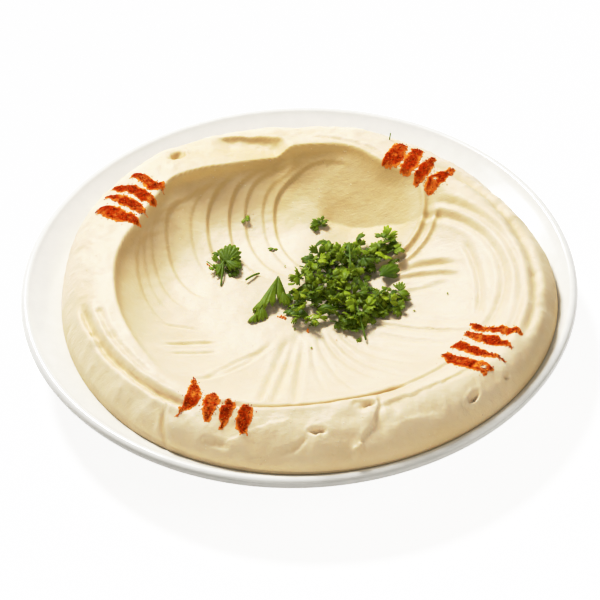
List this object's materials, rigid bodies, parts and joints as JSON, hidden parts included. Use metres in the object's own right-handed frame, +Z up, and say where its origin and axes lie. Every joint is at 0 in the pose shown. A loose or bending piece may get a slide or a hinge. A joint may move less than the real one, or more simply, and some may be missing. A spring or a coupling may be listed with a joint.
{
  "type": "plate of hummus",
  "caption": "Hummus spooned into a shallow round white plate, its scooped well holding chopped parsley, with stripes of ground paprika on the bank.",
  "frame": {"origin": "middle of the plate's foot, on the surface that the plate stands on", "axes": "+Z up; -Y towards the front of the dish, where the bank is broadest; +X to the right"},
  "size_m": [0.22, 0.22, 0.0418],
  "materials": {
    "plate": "glazed white ceramic",
    "hummus": "smooth moist paste with a soft sheen",
    "parsley": "fresh leaf, slightly glossy",
    "paprika": "dry ground powder"
  },
  "bodies": {
    "root": {"plate": "plate", "hummus": "hummus", "parsley_heap": "parsley", "parsley_sprig": "parsley"}
  },
  "joints": []
}
